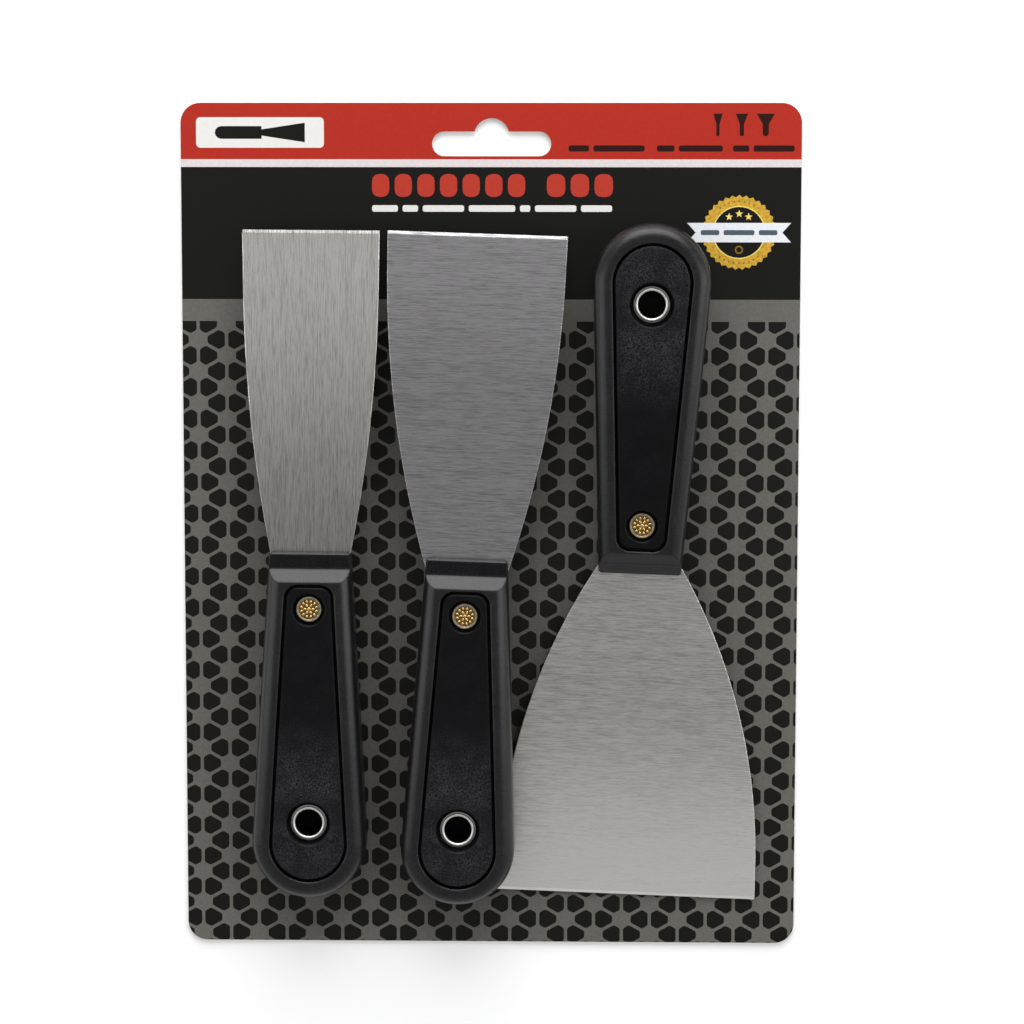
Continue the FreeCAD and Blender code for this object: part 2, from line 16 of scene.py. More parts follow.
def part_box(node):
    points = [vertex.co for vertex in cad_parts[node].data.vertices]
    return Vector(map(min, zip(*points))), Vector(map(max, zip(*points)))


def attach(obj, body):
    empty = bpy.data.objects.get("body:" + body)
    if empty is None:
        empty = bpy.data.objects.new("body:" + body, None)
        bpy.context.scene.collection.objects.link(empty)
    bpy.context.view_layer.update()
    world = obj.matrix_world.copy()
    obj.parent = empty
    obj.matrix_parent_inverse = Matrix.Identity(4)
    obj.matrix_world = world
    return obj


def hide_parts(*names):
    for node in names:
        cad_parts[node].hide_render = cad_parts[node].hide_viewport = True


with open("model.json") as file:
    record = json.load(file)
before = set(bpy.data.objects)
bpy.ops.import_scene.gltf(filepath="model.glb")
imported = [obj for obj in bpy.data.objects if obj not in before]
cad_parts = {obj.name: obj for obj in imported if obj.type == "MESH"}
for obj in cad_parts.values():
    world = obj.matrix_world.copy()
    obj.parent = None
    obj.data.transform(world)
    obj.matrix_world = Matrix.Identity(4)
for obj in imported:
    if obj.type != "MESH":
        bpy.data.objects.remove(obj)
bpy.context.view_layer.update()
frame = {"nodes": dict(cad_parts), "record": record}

bl_info = {
    "name": "Filling Knife Set",
    "version": (1, 0, 0),
    "blender": (4, 5, 0),
    "location": "View3D > Sidebar > Knives",
    "description": "Finishes and printed card of a set of three filling knives",
    "category": "Object",
}

MM = 0.001
SIZES = ("small", "medium", "large")
CARD_LOW, CARD_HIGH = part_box("backing_card")
CARD_TOP = CARD_HIGH.z


# ------------------------------------------------------------------ colours and nodes

def linear(code):
    """sRGB hex such as "c43a2b" as linear RGBA."""
    parts = [int(code[i:i + 2], 16) / 255 for i in (0, 2, 4)]
    return [c / 12.92 if c <= 0.04045 else ((c + 0.055) / 1.055) ** 2.4 for c in parts] + [1.0]


def add(tree, kind, inputs=None, **settings):
    """Adds one node; an input is set from a number, or linked where a socket is given."""
    node = tree.nodes.new(kind)
    for name, setting in settings.items():
        setattr(node, name, setting)
    for name, source in (inputs or {}).items():
        if isinstance(source, bpy.types.NodeSocket):
            tree.links.new(source, node.inputs[name])
        else:
            node.inputs[name].default_value = source
    return node


def new_material(name):
    material = bpy.data.materials.new(name)
    material.use_nodes = True
    tree = material.node_tree
    tree.nodes.clear()
    return material, tree


def close_material(tree, **inputs):
    """Ends a material in one principled shader; underscores in a name are spaces."""
    shader = add(tree, "ShaderNodeBsdfPrincipled",
                 {name.replace("_", " "): source for name, source in inputs.items()})
    add(tree, "ShaderNodeOutputMaterial", {"Surface": shader.outputs[0]})


def noise(tree, where, detail, **inputs):
    """Fractal noise with features one unit of where across, as a value about 0.5."""
    return add(tree, "ShaderNodeTexNoise",
               {"Vector": where, "Scale": 1.0, "Detail": detail, **inputs}).outputs["Fac"]


def ramp(tree, value, start, end, low, high, smooth=False):
    """value from start to end, turned into low to high and held there beyond the ends."""
    return add(tree, "ShaderNodeMapRange",
               {"Value": value, "From Min": start, "From Max": end, "To Min": low,
                "To Max": high},
               interpolation_type="SMOOTHSTEP" if smooth else "LINEAR").outputs[0]


def times(tree, *factors):
    """Product of two or more values."""
    product = factors[0]
    for factor in factors[1:]:
        product = add(tree, "ShaderNodeMath", {0: product, 1: factor},
                      operation="MULTIPLY").outputs[0]
    return product


def mixed(tree, amount, first, second):
    """Colour between two others."""
    return add(tree, "ShaderNodeMix", {0: amount, 6: first, 7: second},
               data_type="RGBA").outputs[2]


def shaded(tree, colour, strength):
    """Colour made lighter or darker."""
    return add(tree, "ShaderNodeMix", {0: 1.0, 6: colour, 7: strength}, data_type="RGBA",
               blend_type="MULTIPLY").outputs[2]


def relief(tree, height, strength, depth_mm, **inputs):
    """Normals of a surface with a fine relief."""
    return add(tree, "ShaderNodeBump", {"Height": height, "Strength": strength,
                                        "Distance": depth_mm * MM, **inputs}).outputs[0]


def sized(tree, feature_mm, place=(0, 0, 0), turn=(0, 0, 0)):
    """Coordinates in which one unit is one feature, along the axes of a knife if given."""
    where = add(tree, "ShaderNodeTexCoord")
    return add(tree, "ShaderNodeMapping",
               {"Vector": where.outputs["Object"], "Location": place, "Rotation": turn,
                "Scale": [size * MM for size in feature_mm]}, vector_type="TEXTURE").outputs[0]


def set_material(piece, material):
    """Gives a CAD node or a new piece its one material."""
    if not piece.material_slots:
        piece.data.materials.append(None)
    for slot in piece.material_slots:
        slot.link = "OBJECT"
        slot.material = material


# ------------------------------------------------------------------ where a knife lies

class Knife:
    """Place and axes of one knife, read from its eyelet and rivet."""

    def __init__(self, size):
        self.size = size
        mounts = {mount["name"]: mount for mount in frame["record"]["mounts"]}
        mount = mounts[f"eyelet_bore_{size}"]
        self.eyelet = Vector(mount["pos_m"])
        up = Vector(mount["axis"]).normalized()
        low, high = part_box(f"rivet_cap_{size}")
        along = (low + high) / 2 - self.eyelet
        along = (along - up * along.dot(up)).normalized()
        self.axes = Matrix((along.cross(up), along, up)).transposed()
        self.turn = self.axes.to_euler()

    def node(self, name):
        return frame["nodes"][f"{name}_{self.size}"]

    def local(self, point):
        """A point as measured from the eyelet: across, towards the blade, up."""
        return self.axes.transposed() @ (point - self.eyelet)

    def sized(self, tree, feature_mm=(1, 1, 1)):
        """Coordinates along the knife's axes from its eyelet, one unit to a feature."""
        return sized(tree, feature_mm, self.eyelet, self.turn)

    def measures(self, tree):
        """Millimetres across, along and up from the eyelet, as the outputs X, Y and Z."""
        return add(tree, "ShaderNodeSeparateXYZ", {0: self.sized(tree)}).outputs


# ------------------------------------------------------------------ settings

def hex_colour(name, description, code):
    return FloatVectorProperty(name=name, description=description, subtype="COLOR", size=4,
                               min=0, max=1, default=linear(code))


class CardSettings(bpy.types.PropertyGroup):
    red: hex_colour("Header ink", "Red of the header band", "a9291c")
    black: hex_colour("Band ink", "Black of the title band", "0f0f0d")
    cell: hex_colour("Cell ink", "Black of the mesh's cells", "0c0c09")
    grey: hex_colour("Mesh ink", "Warm grey of the printed mesh", "63615c")
    silver: hex_colour("Rule ink", "Silver of the rule under the header", "d5cdcc")
    gold: hex_colour("Seal ink", "Gold of the seal", "c29a34")
    pitch: FloatProperty(name="Mesh pitch", description="Up the card, from node to node",
                         default=8.877 * MM, unit="LENGTH")
    column: FloatProperty(name="Mesh column", description="Across the card, column to column",
                          default=7.924 * MM, unit="LENGTH")
    arm: FloatProperty(name="Mesh arm", description="Width of an arm of the mesh",
                       default=0.89 * MM, unit="LENGTH")
    node: FloatProperty(name="Mesh node", description="Radius of the hexagon at a node",
                        default=2.53 * MM, unit="LENGTH")


class KnifeSettings(bpy.types.PropertyGroup):
    plastic: hex_colour("Handle plastic", "Black of the moulded handle", "09090b")
    nickel: hex_colour("Nickel", "Tint of the eyelets", "f0eeea")
    brass: hex_colour("Brass", "Tint of the raised ornament on a rivet", "f2c77c")
    patina: hex_colour("Patina", "Tint of the brass between the ornament", "8a744c")
    edge_round: FloatProperty(name="Edge round", description="Softening of sharp metal edges",
                              default=0.38 * MM, unit="LENGTH")
    shell_round: FloatProperty(name="Shell edge round", description="Softening of a handle half",
                               default=0.75 * MM, unit="LENGTH")
    panel_round: FloatProperty(name="Panel edge round", description="Softening of an inlay",
                               default=0.35 * MM, unit="LENGTH")
    petals: IntProperty(name="Petals", description="Petals of the ornament on a rivet head",
                        default=6, min=3, max=12)


class StageSettings(bpy.types.PropertyGroup):
    distance: FloatProperty(name="Camera distance", description="From the card to the camera",
                            default=0.7979, unit="LENGTH")
    pitch: FloatProperty(name="Pitch", description="Lean of the view towards the hang slot",
                         default=math.radians(5.6), unit="ROTATION")
    yaw: FloatProperty(name="Yaw", description="Lean of the view to the right",
                       default=math.radians(1.17), unit="ROTATION")
    roll: FloatProperty(name="Roll", description="Turn of the picture",
                        default=math.radians(0.063), unit="ROTATION")
    target: FloatVectorProperty(name="Target", description="Point of the card in mid-picture",
                                size=3, default=(6.02 * MM, 4.46 * MM, 0), unit="LENGTH")
    lens: FloatProperty(name="Lens", description="Focal length in millimetres", default=100.0)


# ------------------------------------------------------------------ printed card

def arc(x, y, radius, start, end, steps=10):
    """Points on an arc, its angles in degrees."""
    angles = [math.radians(start + (end - start) * i / steps) for i in range(steps + 1)]
    return [(x + radius * math.cos(a), y + radius * math.sin(a)) for a in angles]


def circle(x, y, radius, steps=48):
    return arc(x, y, radius, 0, 360, steps)[:-1]


def rounded_box(left, low, right, high, radius, steps=6):
    return (arc(right - radius, high - radius, radius, 0, 90, steps)
            + arc(left + radius, high - radius, radius, 90, 180, steps)
            + arc(left + radius, low + radius, radius, 180, 270, steps)
            + arc(right - radius, low + radius, radius, 270, 360, steps))


def star(x, y, outer, inner, points=5):
    """A star, one of its points upwards."""
    outline = []
    for i in range(2 * points):
        angle = math.radians(90) + math.pi * i / points
        radius = inner if i % 2 else outer
        outline.append((x + radius * math.cos(angle), y + radius * math.sin(angle)))
    return outline


def knife_sign(x, y, width, length, lying=False):
    """A little filling knife, blade up or, lying, to the right: blade's width, whole length."""
    if lying:
        return [(x + along, y - across) for across, along in knife_sign(0, 0, width, length)]
    edge, neck, grip = width / 2, width * 0.16, max(width * 0.17, length * 0.07)
    top, lip, low = y + length / 2, y + length * 0.02, y - length / 2
    return [(x - edge, top), (x - neck, lip), (x - grip, lip), (x - grip, low + grip),
            *arc(x, low + grip, grip, 180, 360, 6)[1:-1], (x + grip, low + grip), (x + grip, lip),
            (x + neck, lip), (x + edge, top)]


def words(left, low, right, high, letters, gap):
    """Plain bars in the place of words, as long as their letter counts."""
    unit = (right - left - gap * (len(letters) - 1)) / sum(letters)
    bars = []
    x = left
    for count in letters:
        bars.append(rounded_box(x, low, x + count * unit, high, (high - low) * 0.3, 3))
        x += count * unit + gap
    return bars


RULE_TOP, RULE_LOW, BAND_LOW, FIELD_TOP = 102.65, 100.5, 63.95, 57.83
SEAL = (68.88, 82.57)


def card_outline():
    half_w, half_h, corner = CARD_HIGH.x / MM, CARD_HIGH.y / MM, 5.5
    return rounded_box(-half_w, -half_h, half_w, half_h, corner, 12)


def slot_outline():
    """Round-ended slot with a round notch in the middle of its upper side."""
    x, y, half, end, notch, rise = 0.3, 106.9, 16.5, 3.4, 4.9, 2.15
    side = math.degrees(math.asin((end - rise) / notch))
    return (arc(x + half - end, y, end, -90, 90, 12) + arc(x, y + rise, notch, side, 180 - side, 20)
            + arc(x - half + end, y, end, 90, 270, 12))


def ribbon(x, y, half, rise, notch):
    return [(x - half, y + rise), (x + half, y + rise), (x + half - notch, y),
            (x + half, y - rise), (x - half, y - rise), (x - half + notch, y)]


def artwork():
    """What is printed over the bands, from the bottom up, as (ink, outline in millimetres)."""
    shapes = []

    def put(ink, *outlines):
        shapes.extend((ink, outline) for outline in outlines)

    put("white", rounded_box(-81.7, 105.8, -46.2, 114.2, 1.2))
    put("black", knife_sign(-64, 110, 5.4, 25, lying=True))
    put("title", *words(-32.9, 92.3, 9.6, 98.6, (1,) * 7, 1.5),
        *words(15.6, 92.3, 33.9, 98.6, (1,) * 3, 1.5))
    put("white", *words(-32.9, 88.2, 33.7, 90.0, (5, 3, 8, 9, 2, 8, 6), 1.3))
    for i, width in enumerate((2.6, 3.4, 5.0)):
        put("sign", knife_sign(62.8 + 6.6 * i, 112.1, width, 6.2))
    for left, right in ((21.6, 42.6), (46.0, 64.2), (67.0, 84.0)):
        put("sign", *words(left, 104.8, right, 106.5, (2, 5), 1.2))
    x, y = SEAL
    put("gold", star(x, y, 10.35, 9.7, 33))
    put("bright_gold", circle(x, y, 7.35))
    put("black", circle(x, y, 7.03))
    for i in range(-4, 5):
        for middle in (90, 270):
            angle = math.radians(middle + i * 9.5)
            put("dark_gold", circle(x + 8.55 * math.cos(angle), y + 8.55 * math.sin(angle), 0.26, 8))
    put("bright_gold", star(x - 2.77, y + 4.28, 1.1, 0.48), star(x, y + 5.13, 1.1, 0.48),
        star(x + 2.62, y + 4.29, 1.1, 0.48))
    put("dark_gold", circle(x, y - 4.8, 1.15, 20))
    put("black", circle(x, y - 4.8, 0.75, 20))
    put("ribbon", ribbon(x, y - 0.05, 14.4, 2.68, 2.4))
    put("slate", *words(x - 10.6, y - 0.75, x + 10.6, y + 0.65, (3, 5, 3), 1.2))
    return shapes


def cells(settings):
    """Centres of the mesh's dark cells and the way that each points, as (x, y, side)."""
    pitch, column = settings.pitch / MM, settings.column / MM
    first_x, first_y = -73.715, 39.352
    low, high = CARD_LOW / MM, CARD_HIGH / MM
    found = []
    for i in range(math.floor((low.x - first_x) / column) - 1,
                   math.ceil((high.x - first_x) / column) + 1):
        shift = pitch / 2 * (i % 2)
        for j in range(math.floor((low.y - first_y) / pitch) - 1,
                       math.ceil((FIELD_TOP - first_y) / pitch) + 2):
            x, y = first_x + i * column, first_y + shift + j * pitch
            found.append((x + column / 3, y + pitch / 2, 1))
            found.append((x + column * 2 / 3, y, -1))
    return found


def cell_outline(x, y, side, settings):
    """A triangle between three arms, with its corners cut by the nodes and softened."""
    pitch, arm = settings.pitch / MM, settings.arm / MM
    wider = settings.column / (settings.pitch * math.sqrt(3) / 2)
    to_arm = pitch / math.sqrt(12) - arm / 2
    to_node = pitch / math.sqrt(3) - settings.node / MM
    flats = [(180 * (side > 0) + 60 * k, to_arm if k % 2 == 0 else to_node) for k in range(6)]
    corners = []
    for k, (angle, reach) in enumerate(flats):
        next_angle, next_reach = flats[(k + 1) % 6]
        a, b = math.radians(angle), math.radians(next_angle)
        cross = math.sin(b - a)
        corners.append(Vector((
            (reach * math.sin(b) - next_reach * math.sin(a)) / cross,
            (next_reach * math.cos(a) - reach * math.cos(b)) / cross)))
    outline = []
    cut = 0.3
    for k, corner in enumerate(corners):
        for other in (corners[k - 1], corners[(k + 1) % 6]):
            step = (other - corner).normalized() * cut
            outline.append((x + (corner.x + step.x) * wider, y + corner.y + step.y))
    return outline


def inside(point, outline):
    x, y = point
    found = False
    for (ax, ay), (bx, by) in zip(outline, outline[1:] + outline[:1]):
        if (ay > y) != (by > y) and x < (bx - ax) * (y - ay) / (by - ay) + ax:
            found = not found
    return found


def near_box(outline):
    xs, ys = [p[0] for p in outline], [p[1] for p in outline]
    return min(xs), min(ys), max(xs), max(ys)


def card_faces(settings):
    """Triangles of the printed side: points in millimetres, and (corners, ink) for each."""
    board, slot = card_outline(), slot_outline()
    shapes = artwork()
    field = [cell_outline(*cell, settings) for cell in cells(settings)]
    left, _, right, _ = near_box(board)
    rules = [[(left - 1, y), (right + 1, y)] for y in (RULE_TOP, RULE_LOW, BAND_LOW, FIELD_TOP)]
    points, edges = [], []
    for outline in [board, slot, *(outline for _, outline in shapes), *field, *rules]:
        start = len(points)
        points += [Vector(p) for p in outline]
        count = len(outline)
        edges += [(start + i, start + (i + 1) % count) for i in range(count if count > 2 else 1)]
    verts, _, faces, *_ = delaunay_2d_cdt(points, edges, [], 0, 1e-4)
    layers = [(ink, outline, near_box(outline)) for ink, outline in shapes][::-1]
    square = 6
    dark = {}
    for outline in field:
        box = near_box(outline)
        key = (round((box[0] + box[2]) / 2 / square), round((box[1] + box[3]) / 2 / square))
        for dx in (-1, 0, 1):
            for dy in (-1, 0, 1):
                dark.setdefault((key[0] + dx, key[1] + dy), []).append((outline, box))

    def within(x, y, box):
        return box[0] <= x <= box[2] and box[1] <= y <= box[3]

    kept = []
    for face in faces:
        x = sum(verts[i].x for i in face) / 3
        y = sum(verts[i].y for i in face) / 3
        if not inside((x, y), board) or inside((x, y), slot):
            continue
        ink = next((ink for ink, outline, box in layers
                    if within(x, y, box) and inside((x, y), outline)), None)
        if ink is None and y < FIELD_TOP:
            cell = any(within(x, y, box) and inside((x, y), outline)
                       for outline, box in dark.get((round(x / square), round(y / square)), []))
            ink = "cell" if cell else "mesh"
        if ink is None:
            ink = ("red" if y > RULE_TOP else "silver" if y > RULE_LOW
                   else "black" if y > BAND_LOW else "mesh")
        kept.append((face, ink))
    return verts, kept


def ink_material(name, colour, roughness=0.42, drift=0.05, shade=0.0):
    """Offset ink under a satin dispersion varnish: an even film with a faint paper mottle.

    shade darkens the ink towards the middle of the card. Where ambient occlusion finds the card
    closed in, as at the bottom of an eyelet and right beside the handles, its colour is darkened
    down to black: painted shade."""
    material, tree = new_material(name)
    mottle = noise(tree, sized(tree, (0.9, 0.9, 0.9)), 3.0)
    strength = ramp(tree, mottle, 0.3, 0.7, 1 - drift, 1 + drift)
    if shade:
        # Darker towards the middle of the card, around the knives.
        middle = sized(tree, (95, 105, 95), (0, -35 * MM, 0))
        ball = add(tree, "ShaderNodeVectorMath", {0: middle}, operation="LENGTH")
        middle_darkening = ramp(tree, ball.outputs["Value"], 0.1, 1.15, 1 - shade, 1.0)
        strength = times(tree, strength, middle_darkening)
    # Painted shade: the colour darkens where little of the room is open above the card.
    open_sky = add(tree, "ShaderNodeAmbientOcclusion", {"Distance": 12 * MM}, samples=8)
    painted_shade = ramp(tree, open_sky.outputs["AO"], 0.1, 0.5, 0.05, 1.0)
    fibre = noise(tree, sized(tree, (0.25, 0.25, 0.25)), 2.0)
    close_material(tree, Base_Color=shaded(tree, colour, times(tree, strength, painted_shade)),
                   Roughness=roughness, Specular_IOR_Level=0.2,
                   Normal=relief(tree, fibre, 0.06, 0.05))
    return material


def card_materials(settings):
    """One material for each ink, and the bare board of the back and the cut edges."""
    materials = {
        "red": ink_material("ink_header_red", settings.red),
        "silver": ink_material("ink_silver", settings.silver, 0.35),
        "black": ink_material("ink_black", settings.black, 0.4),
        "mesh": ink_material("ink_warm_grey", settings.grey, 0.45, 0.09, shade=0.32),
        "cell": ink_material("ink_cell_black", settings.cell, 0.45, 0.15),
        "title": ink_material("ink_title_red", linear("b03628")),
        "white": ink_material("unprinted_white", linear("dedcd9"), 0.4, 0.02),
        "sign": ink_material("ink_overprint", linear("280a08")),
        "gold": ink_material("ink_gold", settings.gold, 0.4, 0.25),
        "bright_gold": ink_material("ink_light_gold", linear("e9cf6a"), 0.4, 0.1),
        "dark_gold": ink_material("ink_dark_gold", linear("84651d"), 0.45, 0.1),
        "ribbon": ink_material("ink_ribbon", linear("dfe2e7"), 0.4, 0.05),
        "slate": ink_material("ink_slate", linear("4d5963"), 0.4),
    }
    material, tree = new_material("folding_boxboard")
    # Grey-white uncoated board: soft fibres a few tenths of a millimetre long.
    fibres = noise(tree, sized(tree, (0.5, 1.6, 0.5)), 5.0)
    close_material(tree, Base_Color=mixed(tree, fibres, linear("cfcac0"), linear("e6e2d9")),
                   Roughness=0.85, Normal=relief(tree, fibres, 0.25, 0.08))
    materials["board"] = material
    return materials


class KNIVES_OT_card(bpy.types.Operator):
    """Makes the printed hanging card as one closed board, each ink its own faces"""
    bl_idname = "knives.card"
    bl_label = "Printed Card"

    def execute(self, context):
        settings = context.scene.knives_card
        verts, faces = card_faces(settings)
        materials = card_materials(settings)
        slots = {name: i for i, name in enumerate(materials)}
        mesh = bmesh.new()
        used = sorted({i for corners, _ in faces for i in corners})
        top = {i: mesh.verts.new((verts[i].x * MM, verts[i].y * MM, CARD_TOP)) for i in used}
        low = {i: mesh.verts.new((verts[i].x * MM, verts[i].y * MM, 0)) for i in used}
        sides = {}
        for corners, ink in faces:
            mesh.faces.new([top[i] for i in corners]).material_index = slots[ink]
            mesh.faces.new([low[i] for i in reversed(corners)]).material_index = slots["board"]
            for a, b in zip(corners, corners[1:] + corners[:1]):
                if (b, a) in sides:
                    del sides[b, a]
                else:
                    sides[a, b] = True
        for a, b in sides:
            wall = mesh.faces.new((top[b], top[a], low[a], low[b]))
            wall.material_index = slots["board"]
        data = bpy.data.meshes.new("card_board")
        bmesh.ops.recalc_face_normals(mesh, faces=mesh.faces)
        mesh.to_mesh(data)
        mesh.free()
        for material in materials.values():
            data.materials.append(material)
        piece = bpy.data.objects.new("card_board", data)
        context.scene.collection.objects.link(piece)
        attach(piece, "card")
        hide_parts("backing_card")
        return {"FINISHED"}


class KNIVES_OT_pads(bpy.types.Operator):
    """Finishes the foam pads under the handles"""
    bl_idname = "knives.pads"
    bl_label = "Foam Pads"

    def execute(self, context):
        material, tree = new_material("polyethylene_foam")
        # Closed-cell foam, coloured with carbon black: pinhead cells show as a soft pitting. Its
        # black also serves as painted shade at the bottom of the eyelet bores, where the pads show.
        pores = add(tree, "ShaderNodeTexVoronoi",
                    {"Vector": sized(tree, (0.45, 0.45, 0.45)), "Scale": 1.0}).outputs["Distance"]
        close_material(tree, Base_Color=mixed(tree, pores, linear("161616"), linear("242424")),
                       Roughness=0.9, Normal=relief(tree, pores, 0.6, 0.2))
        for size in SIZES:
            set_material(frame["nodes"][f"adhesive_pads_{size}"], material)
        return {"FINISHED"}


# ------------------------------------------------------------------ blades

def rounded_relief(tree, height, strength, depth_mm, radius):
    """Fine relief on a surface whose sharp edges are rounded by radius."""
    edges = add(tree, "ShaderNodeBevel", {"Radius": radius}, samples=6)
    return relief(tree, height, strength, depth_mm, Normal=edges.outputs[0])


def brushed_steel(name, knife, edge_round, streak_mm, tint, neck, rise_mm, land, rough,
                  contrast, fade):
    """Spring steel, ground and belt-brushed: fine parallel streaks that stretch the gloss.

    streak_mm is the width and length of a streak along the knife's axes, contrast how much it stands
    out. The grind is finer towards the edge, and the colour is painted lighter there, a painted
    reflection of the lamps along the blade: neck is how light it is at the neck, rise_mm where along
    the blade it turns lighter, and fade how much of the contrast is lost there. land darkens the
    narrow ground land at the edge, a painted shade that dims its reflection of the lamps; at 1 it is
    left as it is."""
    material, tree = new_material(name)
    coarser, coarse_share = 5, 0.2
    fine = noise(tree, knife.sized(tree, streak_mm), 2.0, Roughness=0.7)
    broad = noise(tree, knife.sized(tree, [size * coarser for size in streak_mm]), 2.0)
    grain = add(tree, "ShaderNodeMath", {0: fine, 1: times(tree, broad, coarse_share)},
                operation="ADD").outputs[0]
    faint, strong = 0.42, 0.78
    streaks = ramp(tree, grain, faint, strong, 1 - contrast, 1 + contrast)
    length = knife.measures(tree)["Y"]
    finer = ramp(tree, length, *rise_mm, 0.0, fade)
    level = add(tree, "ShaderNodeMix", {0: finer, 2: streaks, 3: 1.0}).outputs[0]
    # Painted reflection: lighter towards the edge, where the blade catches the lamps.
    along = ramp(tree, length, *rise_mm, neck, 1.0, smooth=True)
    tip = max(knife.local(v.co).y for v in knife.node("blade").data.vertices) / MM
    # Painted shade: the ground land at the edge is darkened by land, to dim its reflection of the
    # lamps.
    land_start, land_full = tip - 1.1, tip - 0.8
    edge = ramp(tree, length, land_start, land_full, 1.0, land)
    close_material(tree, Base_Color=shaded(tree, tint, times(tree, level, along, edge)),
                   Metallic=1.0,
                   Roughness=ramp(tree, grain, faint, strong, rough + 0.08, rough - 0.08),
                   Normal=rounded_relief(tree, grain, 0.2, 0.03, edge_round))
    return material


class KNIVES_OT_blades(bpy.types.Operator):
    """Finishes the three blades, the small one brushed lengthwise, the others crosswise"""
    bl_idname = "knives.blades"
    bl_label = "Blades"

    def execute(self, context):
        settings = context.scene.knives_tools
        # Each blade's tint is the steel's colour, made lighter or darker for that blade as painted
        # light; neck and land are painted light too.
        looks = {
            "small": dict(streak_mm=(0.27, 5.5, 1.0), tint=linear("e4e1dc"), neck=0.48,
                          rise_mm=(70, 165), land=0.3, rough=0.34, contrast=0.46, fade=0.1),
            "medium": dict(streak_mm=(5.0, 0.29, 1.0), tint=linear("b6b4b6"), neck=0.8,
                           rise_mm=(115, 165), land=0.75, rough=0.34, contrast=0.46, fade=0.0),
            "large": dict(streak_mm=(4.2, 0.29, 1.0), tint=linear("fffcf7"), neck=0.58,
                          rise_mm=(105, 168), land=1.0, rough=0.36, contrast=0.42, fade=0.6),
        }
        for size, look in looks.items():
            knife = Knife(size)
            set_material(knife.node("blade"),
                         brushed_steel(f"brushed_spring_steel_{size}", knife,
                                       settings.edge_round, **look))
        return {"FINISHED"}


# ------------------------------------------------------------------ handles

SEAT_FLOOR_MM, LIP_FLAT_MM = 4.4, 3.2


def flat_at(tree, knife, level_mm):
    """1 on faces that lie flat at level_mm over the middle of the blade, else 0."""
    slack_mm, upright = 0.15, 0.9
    near = add(tree, "ShaderNodeMath", {0: knife.measures(tree)["Z"], 1: level_mm, 2: slack_mm},
               operation="COMPARE")
    facing = add(tree, "ShaderNodeSeparateXYZ",
                 {0: add(tree, "ShaderNodeTexCoord").outputs["Normal"]})
    flat = add(tree, "ShaderNodeMath", {0: facing.outputs["Z"], 1: upright},
               operation="GREATER_THAN")
    return times(tree, near.outputs[0], flat.outputs[0])


def moulded_black(name, knife, edge_round, colour, speckle, rough, shine, lip, grained=False):
    """Polypropylene, injection moulded in a spark-eroded mould: a fine dull pebble grain.

    Where grained, the grain opens towards the butt, where it catches more light. The bottom of the
    groove and of the seats hardly reflects at all, a painted shade for these recesses, and the flat
    of the lip reflects by its own amount, a painted light that is dimmed on the small and medium
    knives and raised on the large one."""
    material, tree = new_material(name)
    grain = noise(tree, knife.sized(tree, (0.35, 0.35, 0.35)), 5.0, Roughness=0.7)
    cloud = noise(tree, knife.sized(tree, (7.0, 7.0, 7.0)), 3.0)
    amount = times(tree, ramp(tree, grain, 0.42, 0.68, 0.0, 1.0),
                   ramp(tree, cloud, 0.35, 0.7, 0.35, 1.0))
    if grained:
        length = knife.measures(tree)["Y"]
        amount = times(tree, amount, ramp(tree, length, 32.0, 14.0, 0.12, 1.0, smooth=True))
    # Painted shade on the floors of the groove and the seats; painted light on the lip flat, set by
    # lip.
    for level_mm, other in ((SEAT_FLOOR_MM, 0.02), (LIP_FLAT_MM, lip)):
        shine = add(tree, "ShaderNodeMix", {0: flat_at(tree, knife, level_mm), 2: shine,
                                            3: other}).outputs[0]
    close_material(tree, Base_Color=mixed(tree, amount, colour, speckle),
                   Roughness=ramp(tree, grain, 0.3, 0.7, rough - 0.05, rough + 0.07), IOR=1.49,
                   Specular_IOR_Level=shine,
                   Normal=rounded_relief(tree, grain, 0.25, 0.06, edge_round))
    return material


class KNIVES_OT_handles(bpy.types.Operator):
    """Finishes the handle halves and their inlay panels"""
    bl_idname = "knives.handles"
    bl_label = "Handles"

    def execute(self, context):
        settings = context.scene.knives_tools
        for size in SIZES:
            knife = Knife(size)
            # Painted light: the lip flat's reflection is turned up on the large knife and down on
            # the others.
            lip = 0.8 if size == "large" else 0.12
            shell = moulded_black(f"moulded_polypropylene_{size}", knife, settings.shell_round,
                                  settings.plastic, linear("262628"), 0.3, 0.42, lip)
            panel = moulded_black(f"grained_polypropylene_{size}", knife, settings.panel_round,
                                  settings.plastic, linear("444447"), 0.36, 0.11, lip,
                                  grained=True)
            for side in ("front", "back"):
                set_material(knife.node(f"{side}_shell"), shell)
                set_material(knife.node(f"{side}_panel"), panel)
        return {"FINISHED"}


# ------------------------------------------------------------------ rivets and eyelets

def plated(name, colour, rough, grain_mm, strength, dark=0.8):
    """Nickel or brass plate over pressed steel: bright, faintly rippled by the press."""
    material, tree = new_material(name)
    ripple = noise(tree, sized(tree, (grain_mm,) * 3), 4.0)
    tone = ramp(tree, ripple, 0.35, 0.65, dark, 1.05)
    close_material(tree, Base_Color=shaded(tree, colour, tone), Metallic=1.0, Roughness=rough,
                   Normal=relief(tree, ripple, strength, 0.06))
    return material


